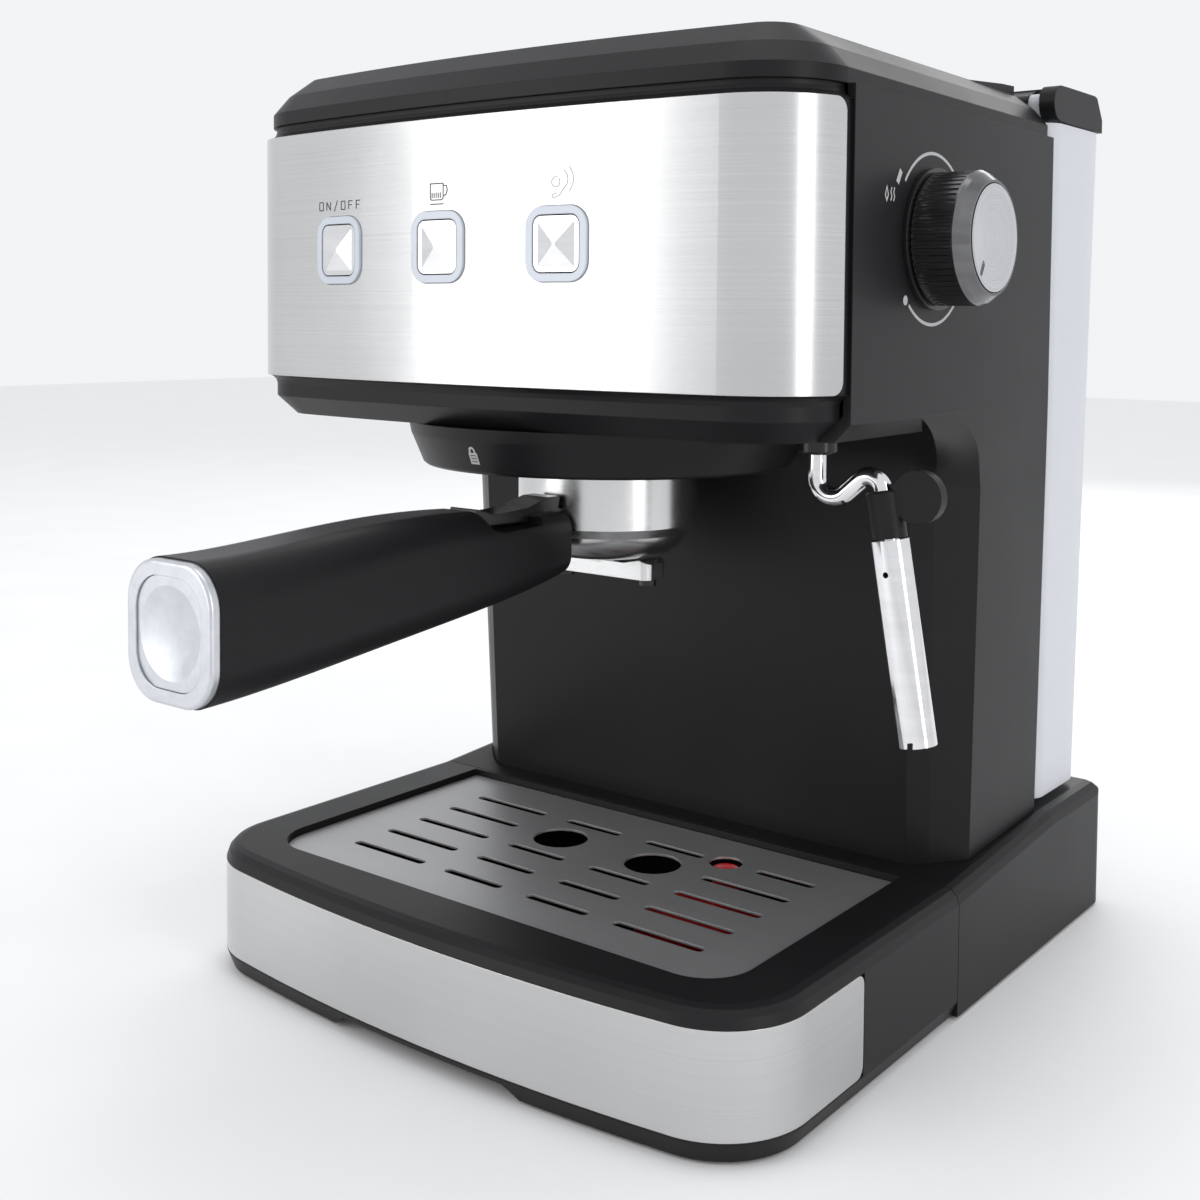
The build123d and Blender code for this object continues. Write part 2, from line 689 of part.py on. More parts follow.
with BuildPart() as knob_core:
    extrude(ring(knob_plane.offset(118.2), 17.1, 3.5), amount=12.0)
    extrude(disc(knob_plane.offset(128.1), 17.1), amount=knob_face_x - 2.4 - 128.1)
save(knob_core.part, "knob_core")

with BuildPart() as knob_disc:
    with BuildSketch(Plane(origin=point(0, knob_y, knob_z), x_dir=(1, 0, 0), z_dir=(0, -1, 0))):
        with BuildLine():
            Polyline(
                (knob_face_x - 2.3, 0), (knob_face_x - 2.3, 16.0), (knob_face_x - 0.2, 16.3),
                (knob_face_x, 15.4), (knob_face_x - 0.8, 8.0), (knob_face_x - 1.0, 0), close=True,
            )
        make_face()
    revolve(axis=knob_axis)
    # pointer notch, towards the off mark
    with BuildSketch(knob_plane.offset(knob_face_x - 1.7)):
        with PolarLocations(12.6, 1, start_angle=228):
            SlotOverall(5.6, 2.0)
    extrude(amount=3, mode=Mode.SUBTRACT)
save(knob_disc.part, "knob_disc")

# ---------------------------------------------------------------- portafilter
rim_z = 182.6
with BuildPart() as portafilter_bowl:
    with BuildSketch(facing_front(group_y)):
        with BuildLine():
            Polyline(
                (0, 150.0), (6.5, 150.0), (6.5, 148.4), (16.0, 148.4)
            )
            ThreePointArc((16.0, 148.4), (24.6, 151.0), (29.2, 157.0))
            Polyline(
                (29.2, 157.0), (bowl_radius, 160.0), (bowl_radius, rim_z), (28.2, rim_z), (28.2, 158.5)
            )
            ThreePointArc((28.2, 158.5), (22.4, 153.6), (14.0, 151.6))
            Polyline((14.0, 151.6), (0, 151.6), (0, 150.0))
        make_face()
    revolve(axis=group_axis)
    extrude(disc(level(150), 3.0, 0, group_y), amount=3, mode=Mode.SUBTRACT)
    # bayonet lugs
    for side in (-1, 1):
        with BuildSketch(level(181.65)):
            with Locations((side * 33.4, group_y)):
                Rectangle(7.4, 13.6)
        extrude(amount=2.35)
    extrude(disc(level(rim_z), 30.9, 0, group_y), amount=6, mode=Mode.SUBTRACT)
    # stub that carries the handle
    with BuildSketch(facing_front(-63.0)):
        with Locations((0, 160.4)):
            Circle(5.0)
    extrude(amount=6.0)
save(portafilter_bowl.part, "portafilter_bowl")

with BuildPart() as filter_basket:
    with BuildSketch(facing_front(group_y)):
        with BuildLine():
            Polyline(
                (0, 160.2), (24.5, 160.2), (27.2, 163.0), (27.2, rim_z + 0.1), (30.6, rim_z + 0.1),
                (30.6, rim_z + 1.0), (26.4, rim_z + 1.0), (26.4, 163.4), (24.0, 161.0), (0, 161.0),
                close=True,
            )
        make_face()
    revolve(axis=group_axis)
    with BuildSketch(level(159)):
        with Locations((0, group_y)):
            for radius, count in ((6, 6), (12, 12), (18, 18)):
                with PolarLocations(radius, count):
                    Circle(0.7)
    extrude(amount=3, mode=Mode.SUBTRACT)
save(filter_basket.part, "filter_basket")

with BuildPart() as spout:
    extrude(ring(level(146.0), 6.4, 2.6, 0, group_y), amount=3.9)
    with BuildSketch(facing_front(group_y)):
        with BuildLine():
            Polyline(
                (-22, 141.2), (22, 141.2), (22, 146.6), (18.6, 148.0), (12, 146.6), (-12, 146.6),
                (-18.6, 148.0), (-22, 146.6), close=True,
            )
        make_face()
    extrude(amount=6.0, both=True)
    fillet(spout.edges().filter_by(Axis.Z), radius=3.0)
    extrude(disc(level(141), 2.6, 0, group_y), amount=10, mode=Mode.SUBTRACT)
    for side in (-1, 1):
        extrude(disc(level(141), 2.0, side * spout_offset, group_y), amount=4, mode=Mode.SUBTRACT)
save(spout.part, "spout")

with BuildPart() as spout_tips:
    for side in (-1, 1):
        extrude(ring(level(138.8), 2.9, 1.5, side * spout_offset, group_y), amount=2.4)
save(spout_tips.part, "spout_tips")

# depth, width, height, height of its middle, corner radius
handle_sections = [
    (-66.5, 20.0, 22.0, 156.2, 7.0), (-86.0, 24.5, 26.6, 155.4, 8.0),
    (-122.0, 29.5, 33.0, 154.6, 9.5), (-168.0, 33.5, 36.6, 151.8, 11.0),
    (-215.6, 36.0, 38.4, 149.0, 12.0),
]
with BuildPart() as handle_grip:
    loft(
        sections=[
            box_on(facing_front(y), (-width / 2, width / 2), (mid - height / 2, mid + height / 2), radius)
            for y, width, height, mid, radius in handle_sections
        ],
    )
    # recess for the basket clip, bore for the rod, and the seat of the end ring
    with BuildSketch(facing_right(-20)):
        with BuildLine():
            Polyline(
                (-112.5, 175), (-109.0, 165.2), (-104, 163.8), (-83.0, 163.8), (-81.4, 166.0),
                (-66.0, 166.0), (-66.0, 175), close=True,
            )
        make_face()
    extrude(amount=40, mode=Mode.SUBTRACT)
    extrude(disc(facing_front(-60), 5.1, 0, 160.4), amount=9.1, mode=Mode.SUBTRACT)
    extrude(disc(facing_front(-60), 3.1, 0, 152.0), amount=130, mode=Mode.SUBTRACT)
save(handle_grip.part, "handle_grip")

with BuildPart() as handle_rod:
    extrude(disc(facing_front(-66.6), 2.9, 0, 152.0), amount=120)
save(handle_rod.part, "handle_rod")

end_y, end_z = handle_sections[-1][0], handle_sections[-1][3]
with BuildPart() as handle_end_ring:
    extrude(box_on(facing_front(end_y), (-17.6, 17.6), (end_z - 18.8, end_z + 18.8), 11.8), amount=2.9)
    fillet(handle_end_ring.edges().group_by(Axis.Y)[0], radius=1.0)
    extrude(
        box_on(facing_front(end_y), (-13.6, 13.6), (end_z - 14.8, end_z + 14.8), 9.4),
        amount=3, mode=Mode.SUBTRACT,
    )
save(handle_end_ring.part, "handle_end_ring")

with BuildPart() as handle_end_disc:
    extrude(box_on(facing_front(end_y), (-13.5, 13.5), (end_z - 14.7, end_z + 14.7), 9.3), amount=2.3)
    dish = 60.0
    with BuildSketch(Plane(origin=point(0, end_y - 1.0 - dish, end_z), x_dir=(1, 0, 0), z_dir=(0, -1, 0))):
        with BuildLine():
            CenterArc((0, 0), dish, -90, 180)
            Line((0, dish), (0, -dish))
        make_face()
    revolve(axis=Axis(point(0, end_y - 1.0 - dish, end_z), (0, 0, 1)), mode=Mode.SUBTRACT)
save(handle_end_disc.part, "handle_end_disc")

with BuildPart() as basket_clip:
    with BuildSketch(facing_right(-5.5)):
        with BuildLine():
            Polyline(
                (-106.5, 165.4), (-84.0, 164.6), (-82.6, 166.6), (-81.6, 166.8), (-68.5, 166.8),
                (-67.2, 171.6), (-73.0, 171.6), (-84.0, 169.0), (-100.0, 168.4), (-108.0, 171.0),
                (-109.0, 168.4), close=True,
            )
        make_face()
    extrude(amount=11)
    fillet(basket_clip.edges().filter_by(Axis.X).sort_by(Axis.Z)[-3:], radius=0.6)
save(basket_clip.part, "basket_clip")

# ---------------------------------------------------------------- steam wand
with BuildPart() as wand_nut:
    extrude(ring(level(189.5), 6.3, 3.2, wand_x, wand_y), amount=5.9)
    chamfer(wand_nut.edges().group_by(Axis.Z)[0], length=0.8)
save(wand_nut.part, "wand_nut")

with BuildPart() as wand_pipe:
    with BuildLine() as pipe_line:
        bottom = wand_top + wand_dir * 72
        knee = wand_top - wand_dir * 5.0
        FilletPolyline(
            point(wand_x, wand_y, 195.0), point(wand_x, wand_y, 169.0), knee, bottom,
            radius=(6.0, 4.5),
        )
    with BuildSketch(pipe_line.line ^ 0):
        Circle(pipe_radius)
    sweep()
save(wand_pipe.part, "wand_pipe")

with BuildPart() as wand_grip:
    extrude(ring(wand_plane(3.3), 5.4, pipe_radius + 0.05), amount=14.3)
    chamfer(wand_grip.edges().filter_by(GeomType.CIRCLE).sort_by(Axis.Z)[-2:], length=0.6)
    # flat round thumb tab beside the grip, joined to it by a web
    tab = point(wand_x + 34.3, wand_y, 178.7)
    tab_plane = Plane(origin=tab + Vector(0, 2.0, 0), x_dir=(1, 0, 0), z_dir=(0, -1, 0))
    with BuildSketch(tab_plane):
        Circle(8.0)
        with Locations((-6.5, -1.0)):
            Rectangle(7.0, 9.0)
    extrude(amount=4.0)
    extrude(disc(wand_plane(-2.0), 4.0), amount=5.3, mode=Mode.SUBTRACT)
    extrude(disc(wand_plane(1.0), pipe_radius + 0.05), amount=20, mode=Mode.SUBTRACT)
save(wand_grip.part, "wand_grip")

with BuildPart() as wand_nozzle:
    extrude(disc(wand_plane(72.0), 2.9), amount=5.0)
    extrude(disc(wand_plane(71.0), 0.8), amount=7.0, mode=Mode.SUBTRACT)
save(wand_nozzle.part, "wand_nozzle")

with BuildPart() as froth_sleeve:
    extrude(ring(wand_plane(18.0), sleeve_radius, 4.9), amount=61.3)
    extrude(ring(wand_plane(18.0), 5.0, 3.3), amount=6.0)
    # air hole and the notches at its mouth
    air = Plane(origin=wand_top + wand_dir * 28, x_dir=(1, 0, 0), z_dir=(0, -1, 0))
    extrude(disc(air, 0.9), amount=8.0, mode=Mode.SUBTRACT)
    mouth = Plane(origin=wand_top + wand_dir * 79.3, x_dir=(1, 0, 0), z_dir=(0, -1, 0))
    with BuildSketch(mouth):
        Rectangle(2.2, 4.0)
    extrude(amount=8.0, both=True, mode=Mode.SUBTRACT)
save(froth_sleeve.part, "froth_sleeve")

# ---------------------------------------------------------------- drip tray
band_z = (7.3, 38.6)
band_end_y = -60.0
grate_z = 41.6
grate_sheet = 0.8
slot_width = 3.6
grate_half = 96.0
grate_y = (-105.5, 3.0)
float_x, float_y = 40.0, -17.0

band_recess = tray_outline(band_z[0], -2.0, band_end_y) - tray_outline(band_z[0], sheet, band_end_y)
with BuildPart() as drip_tray:
    loft(
        sections=[tray_outline(base_bottom_z, 2.2), tray_outline(band_z[0] - 0.6, 0.0)], ruled=True
    )
    extrude(tray_outline(band_z[0] - 0.6, 0.0), amount=38.9 - band_z[0] + 0.6)
    for z0, inset0, z1, inset1 in (
        (38.9, 0.0, 41.6, 1.0), (41.6, 1.0, 43.3, 2.8), (43.3, 2.8, base_rim_z, 5.2)
    ):
        loft(sections=[tray_outline(z0, inset0), tray_outline(z1, inset1)], ruled=True)
    # recess of the steel band
    extrude(band_recess, amount=band_z[1] - band_z[0], mode=Mode.SUBTRACT)
    # basin under the grate, and the step that the grate stands on
    extrude(tray_outline(8.0, 6.5, -1.0), amount=29.0, mode=Mode.SUBTRACT)
    extrude(
        box_on(level(36.9), (-grate_half + 3, grate_half - 3), (-102.0, -0.5), 12),
        amount=10, mode=Mode.SUBTRACT,
    )
    # open underside, so that the tray stands over the base plate
    extrude(tray_outline(0.5, 4.5, seam_y + 1), amount=4.9, mode=Mode.SUBTRACT)
    with BuildSketch(facing_front(-100)):
        with BuildLine():
            Polyline((-41, 0), (-34, 5.2), (34, 5.2), (41, 0), close=True)
        make_face()
    extrude(amount=40, mode=Mode.SUBTRACT)
    with BuildSketch(level(grate_z - 1.6)) as grate_seat:
        with Locations((0, (grate_y[0] + grate_y[1]) / 2)):
            RectangleRounded(2 * grate_half + 0.8, grate_y[1] - grate_y[0] + 0.8, 16.4)
        with Locations((0, grate_y[1] - 11)):
            Rectangle(2 * grate_half + 0.8, 22.8)
    extrude(amount=10, mode=Mode.SUBTRACT)
save(drip_tray.part, "drip_tray")

with BuildPart() as tray_band:
    extrude(tray_outline(band_z[0] + 0.1, 0.0, band_end_y - 0.3), amount=band_z[1] - band_z[0] - 0.2)
    extrude(
        tray_outline(band_z[0], sheet - 0.05, band_end_y), amount=band_z[1] - band_z[0],
        mode=Mode.SUBTRACT,
    )
    band_ends = tray_band.edges().filter_by(Axis.X).filter_by(lambda e: e.center().Y > -62 - origin_y)
    fillet(band_ends, radius=3.5)
save(tray_band.part, "tray_band")

slot_pitch = 16.4
slot_columns = (-58.2, -18.2, 18.2, 58.2)
with BuildPart() as drip_grate:
    with BuildSketch(level(grate_z - grate_sheet)):
        with Locations((0, (grate_y[0] + grate_y[1]) / 2)):
            RectangleRounded(2 * grate_half, grate_y[1] - grate_y[0], 16)
        with Locations((0, grate_y[1] - 11)):
            Rectangle(2 * grate_half, 22)
    extrude(amount=grate_sheet)
    with BuildSketch(level(grate_z - 2)) as slots:
        for row in range(5):
            for column, x in enumerate(slot_columns):
                y = -17.4 - row * slot_pitch
                width = 34.0 if abs(x) > 50 else 25.4
                if row == 0 and column == 2:
                    x, width = 18.2, 25.4
                if row == 0 and column == 3:
                    x, width = 64.0, 23.0
                if row == 1 and column in (1, 2):
                    continue
                with Locations((x, y)):
                    SlotOverall(width, slot_width)
        with Locations((-20.6, -33.7), (20.6, -33.7)):
            Circle(10.0)
        with Locations((float_x, float_y)):
            Circle(5.9)
    extrude(amount=3, mode=Mode.SUBTRACT)
    # short legs that stand on the tray's floor
    for x in (-88, 88):
        for y in (-92, -10):
            extrude(disc(level(8.4), 3.0, x, y), amount=grate_z - grate_sheet - 8.4)
save(drip_grate.part, "drip_grate")

with BuildPart() as tray_float:
    extrude(disc(level(8.4), 4.6, float_x, float_y), amount=31.4)
    extrude(box_on(level(8.4), (float_x - 20, float_x + 30), (float_y - 30, float_y + 3), 5), amount=18)
save(tray_float.part, "tray_float")


# ---------------------------------------------------------------- water tank
def tank_section(z, half, back, inset):
    with BuildSketch(level(z)) as section:
        with Locations((0, (84.6 + back) / 2)):
            RectangleRounded(2 * (half - inset), back - 84.6 - 2 * inset, 8 - inset)
    return section.sketch


ear_x = (100.6, 105.2)
with BuildPart() as water_tank:
    loft(
        sections=[
            tank_section(tank_z[0], tank_half[0], tank_rear[0], 0),
            tank_section(tank_z[1], tank_half[1], tank_rear[1], 0),
        ],
        ruled=True,
    )
    loft(
        sections=[
            tank_section(tank_z[0] + tank_wall, tank_half[0], tank_rear[0], tank_wall),
            tank_section(tank_z[1] + 1, tank_half[1], tank_rear[1], tank_wall),
        ],
        ruled=True, mode=Mode.SUBTRACT,
    )
    # outlet that drops into the seat
    extrude(disc(level(44.2), 8.9, outlet_x, outlet_y), amount=8.5)
    extrude(disc(level(44.2), 7.2, outlet_x, outlet_y), amount=5.4, mode=Mode.SUBTRACT)
    extrude(disc(level(44.2), 4.4, outlet_x, outlet_y), amount=12, mode=Mode.SUBTRACT)
    # ears for the lid's pins
    for side in (-1, 1):
        first = min(side * ear_x[0], side * ear_x[1])
        with BuildSketch(facing_right(first)):
            with Locations((lid_axis_y, lid_axis_z)):
                Circle(3.9)
            with Locations((lid_axis_y, (lid_axis_z + 300.0) / 2)):
                Rectangle(7.8, lid_axis_z - 300.0)
        extrude(amount=ear_x[1] - ear_x[0])
    extrude(disc(facing_right(-120), 1.6, lid_axis_y, lid_axis_z), amount=240, mode=Mode.SUBTRACT)
save(water_tank.part, "water_tank")

with BuildPart() as tank_lid:
    with BuildSketch(facing_right(-lid_half)):
        with BuildLine():
            Polyline(
                (lid_front_y, 303.6), (134.2, 303.6), (134.2, 308.5), (128.5, lid_top_z - 0.6),
                (126.0, lid_top_z), (lid_front_y, lid_top_z), close=True,
            )
        make_face()
    extrude(amount=2 * lid_half)
    # bar between the ears, and an arm outside each ear
    with BuildSketch(facing_right(-ear_x[0] + 0.5)) as bar:
        with Locations((lid_axis_y, lid_axis_z)):
            Circle(3.8)
        with BuildLine():
            Polyline(
                (lid_axis_y, lid_axis_z + 3.8), (lid_front_y + 1, lid_top_z),
                (lid_front_y + 1, lid_axis_z - 3.0), (lid_axis_y, lid_axis_z - 3.8), close=True,
            )
        make_face()
    extrude(amount=2 * (ear_x[0] - 0.5))
    for first in (-lid_half, ear_x[1] + 0.5):
        with BuildSketch(facing_right(first)):
            with Locations((lid_axis_y, lid_axis_z)):
                Circle(6.4)
            with BuildLine():
                Polyline(
                    (lid_axis_y, lid_axis_z + 6.4), (lid_front_y + 1, lid_top_z),
                    (lid_front_y + 1, 303.6), (lid_axis_y, lid_axis_z - 6.4), close=True,
                )
            make_face()
        extrude(amount=lid_half - ear_x[1] - 0.5)
    # hollow underneath
    extrude(
        box_on(level(303.5), (-108, 108), (lid_front_y + 2.5, 131.5), 4), amount=9.5,
        mode=Mode.SUBTRACT,
    )
    # finger scoop at the back edge, and the two stub pins
    extrude(disc(level(lid_top_z - 1.2), 26, 0, 150), amount=3, mode=Mode.SUBTRACT)
    for side in (-1, 1):
        first = min(side * 98, side * (ear_x[1] + 3))
        extrude(disc(facing_right(first), 1.55, lid_axis_y, lid_axis_z), amount=ear_x[1] + 3 - 98)
save(tank_lid.part, "tank_lid")

with BuildPart() as tank_valve:
    extrude(disc(level(46.4), 2.0, outlet_x, outlet_y), amount=12.8)
    extrude(disc(level(57.8), 6.4, outlet_x, outlet_y), amount=2.0)
save(tank_valve.part, "tank_valve")

# ---------------------------------------------------------------- fasteners
with BuildPart() as base_screws:
    for x, y in boss_places:
        extrude(disc(level(0.4), 3.2, x, y), amount=plate_z[0] - 0.4)
        extrude(disc(level(plate_z[0]), 1.5, x, y), amount=14.0)
save(base_screws.part, "base_screws")
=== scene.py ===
"""Looks of the espresso machine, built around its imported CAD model. Metres, in the row frame."""

import json
import math

import bmesh
import bpy
from mathutils import Matrix, Vector


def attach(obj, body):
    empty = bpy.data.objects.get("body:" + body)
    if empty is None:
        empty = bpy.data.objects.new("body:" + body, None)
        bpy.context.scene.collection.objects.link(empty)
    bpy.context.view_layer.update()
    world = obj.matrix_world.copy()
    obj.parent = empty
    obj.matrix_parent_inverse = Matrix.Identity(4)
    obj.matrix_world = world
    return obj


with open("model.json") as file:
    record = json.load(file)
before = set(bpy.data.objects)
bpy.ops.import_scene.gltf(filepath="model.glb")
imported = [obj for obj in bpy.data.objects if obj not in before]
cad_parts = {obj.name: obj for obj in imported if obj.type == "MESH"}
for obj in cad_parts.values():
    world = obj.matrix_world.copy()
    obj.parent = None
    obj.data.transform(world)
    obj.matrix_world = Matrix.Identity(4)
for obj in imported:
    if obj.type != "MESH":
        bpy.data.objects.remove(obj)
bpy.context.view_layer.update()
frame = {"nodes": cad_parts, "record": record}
nodes = frame["nodes"]

# The CAD's machine frame, in millimetres, has X = 0 on the symmetry plane and Y = 0 near the column.
ORIGIN = Vector((9.5, -34.75, 0.0))


def at(x, y, z):
    """A machine-frame point in millimetres, as a row-frame point in metres."""
    return (Vector((x, y, z)) - ORIGIN) / 1000


# ---------------------------------------------------------------- materials
class Graph:
    """Short way to write a material's node tree."""

    def __init__(self, name):
        self.mat = bpy.data.materials.new(name)
        self.mat.use_nodes = True
        self.tree = self.mat.node_tree
        self.bsdf = self.tree.nodes["Principled BSDF"]
        coord = self.tree.nodes.new("ShaderNodeTexCoord")
        self.place = coord.outputs["Object"]

    def set(self, **values):
        for key, value in values.items():
            self.bsdf.inputs[key.replace("_", " ")].default_value = value
        return self

    def link(self, out, node_in):
        self.tree.links.new(out, node_in)

    def mapped(self, scale):
        node = self.tree.nodes.new("ShaderNodeMapping")
        node.inputs["Scale"].default_value = scale
        self.link(self.place, node.inputs["Vector"])
        return node.outputs["Vector"]

    def noise(self, vector, detail=3.0, rough=0.5):
        node = self.tree.nodes.new("ShaderNodeTexNoise")
        node.inputs["Scale"].default_value = 1.0
        node.inputs["Detail"].default_value = detail
        node.inputs["Roughness"].default_value = rough
        self.link(vector, node.inputs["Vector"])
        return node.outputs["Fac"]

    def ramp(self, value, low, high, out_low, out_high):
        node = self.tree.nodes.new("ShaderNodeMapRange")
        ends = {"From Min": low, "From Max": high, "To Min": out_low, "To Max": out_high}
        for key, number in ends.items():
            node.inputs[key].default_value = number
        self.link(value, node.inputs["Value"])
        return node.outputs["Result"]

    def mix(self, value, dark, light):
        node = self.tree.nodes.new("ShaderNodeMix")
        node.data_type = "RGBA"
        self.link(value, node.inputs["Factor"])
        node.inputs["A"].default_value = (*dark, 1)
        node.inputs["B"].default_value = (*light, 1)
        return node.outputs["Result"]

    def add(self, a, b, operation="ADD"):
        node = self.tree.nodes.new("ShaderNodeMath")
        node.operation = operation
        self.link(a, node.inputs[0])
        self.link(b, node.inputs[1])
        return node.outputs[0]

    def colour(self, out):
        self.link(out, self.bsdf.inputs["Base Color"])

    def rough(self, out):
        self.link(out, self.bsdf.inputs["Roughness"])

    def bump(self, height, strength, distance, edge=0.0):
        """Bump over softened edges, which are shaded round to a radius of edge metres."""
        node = self.tree.nodes.new("ShaderNodeBump")
        node.inputs["Strength"].default_value = strength
        node.inputs["Distance"].default_value = distance
        self.link(height, node.inputs["Height"])
        if edge > 0:
            bevel = self.tree.nodes.new("ShaderNodeBevel")
            bevel.samples = 4
            bevel.inputs["Radius"].default_value = edge
            self.link(bevel.outputs["Normal"], node.inputs["Normal"])
        self.link(node.outputs["Normal"], self.bsdf.inputs["Normal"])
        return self.mat


def moulded(
    name, dark, light, rough, grain=2600.0, strength=0.25, edge=0.0005, coat=0.0, shine=0.5
):
    """Moulded plastic or rubber: fine spark-eroded grain, slow drift of colour and gloss."""
    g = Graph(name)
    drift = g.noise(g.mapped((14, 14, 14)), detail=4)
    fine = g.noise(g.mapped((grain, grain, grain)), detail=2)
    g.colour(g.mix(g.ramp(drift, 0.35, 0.7, 0, 1), dark, light))
    g.rough(g.ramp(drift, 0.3, 0.75, rough - 0.04, rough + 0.05))
    g.set(Coat_Weight=coat, Coat_Roughness=0.12, Specular_IOR_Level=shine)
    return g.bump(fine, strength, 0.00006, edge)


def brushed(name, dark, light, rough, stretch, strength=0.35, spread=0.10):
    """Brushed metal: long fine scratches across the stretched directions."""
    g = Graph(name)
    lines = g.noise(g.mapped(stretch), detail=6, rough=0.75)
    cloud = g.noise(g.mapped((9, 9, 9)), detail=3)
    both = g.add(lines, cloud, "MULTIPLY")
    g.colour(g.mix(g.ramp(both, 0.12, 0.4, 0, 1), dark, light))
    g.rough(g.ramp(lines, 0.25, 0.8, rough - spread / 2, rough + spread / 2))
    g.set(Metallic=1.0)
    return g.bump(lines, strength, 0.00004, 0.0003)


def polished(name, dark, light, rough):
    """Plated or polished metal with faint wiping marks."""
    g = Graph(name)
    marks = g.noise(g.mapped((60, 60, 260)), detail=5)
    g.colour(g.mix(g.ramp(marks, 0.3, 0.75, 0, 1), dark, light))
    g.rough(g.ramp(marks, 0.3, 0.8, rough, rough + 0.06))
    g.set(Metallic=1.0)
    return g.bump(marks, 0.04, 0.0001, 0.0002)


def turned(name, dark, light, rough, centre, axis):
    """Spun metal face: fine rings about an axis through centre."""
    g = Graph(name)
    shift = g.tree.nodes.new("ShaderNodeVectorMath")
    shift.operation = "SUBTRACT"
    shift.inputs[1].default_value = centre
    g.link(g.place, shift.inputs[0])
    flat = g.tree.nodes.new("ShaderNodeVectorMath")
    flat.operation = "MULTIPLY"
    flat.inputs[1].default_value = tuple(0.0 if i == axis else 1.0 for i in range(3))
    g.link(shift.outputs[0], flat.inputs[0])
    radius = g.tree.nodes.new("ShaderNodeVectorMath")
    radius.operation = "LENGTH"
    g.link(flat.outputs[0], radius.inputs[0])
    rings = g.tree.nodes.new("ShaderNodeTexNoise")
    rings.noise_dimensions = "1D"
    rings.inputs["Scale"].default_value = 2600
    rings.inputs["Detail"].default_value = 5
    g.link(radius.outputs["Value"], rings.inputs["W"])
    fac = rings.outputs["Fac"]
    g.colour(g.mix(g.ramp(fac, 0.3, 0.7, 0, 1), dark, light))
    g.rough(g.ramp(fac, 0.3, 0.7, rough - 0.05, rough + 0.07))
    around = g.tree.nodes.new("ShaderNodeTangent")
    around.direction_type = "RADIAL"
    around.axis = "XYZ"[axis]
    g.link(around.outputs["Tangent"], g.bsdf.inputs["Tangent"])
    g.set(Metallic=1.0, Anisotropic=0.75)
    return g.bump(fac, 0.3, 0.00004)


def frosted(name):
    """Frosted clear plastic of the tank, milky from its eroded inner face."""
    g = Graph(name)
    cloud = g.noise(g.mapped((6, 6, 3)), detail=2)
    fine = g.noise(g.mapped((1500, 1500, 1500)), detail=2)
    g.colour(g.mix(g.ramp(cloud, 0.3, 0.7, 0, 1), (0.80, 0.83, 0.88), (0.86, 0.89, 0.94)))
    g.rough(g.ramp(cloud, 0.3, 0.7, 0.34, 0.42))
    g.set(Transmission_Weight=0.35, IOR=1.35, Subsurface_Weight=0.25, Subsurface_Scale=0.01)
    g.set(Subsurface_Radius=(0.9, 1.0, 1.1))
    return g.bump(fine, 0.12, 0.00005, 0.0004)


KNOB_Y, KNOB_Z = -20.7, 255.6

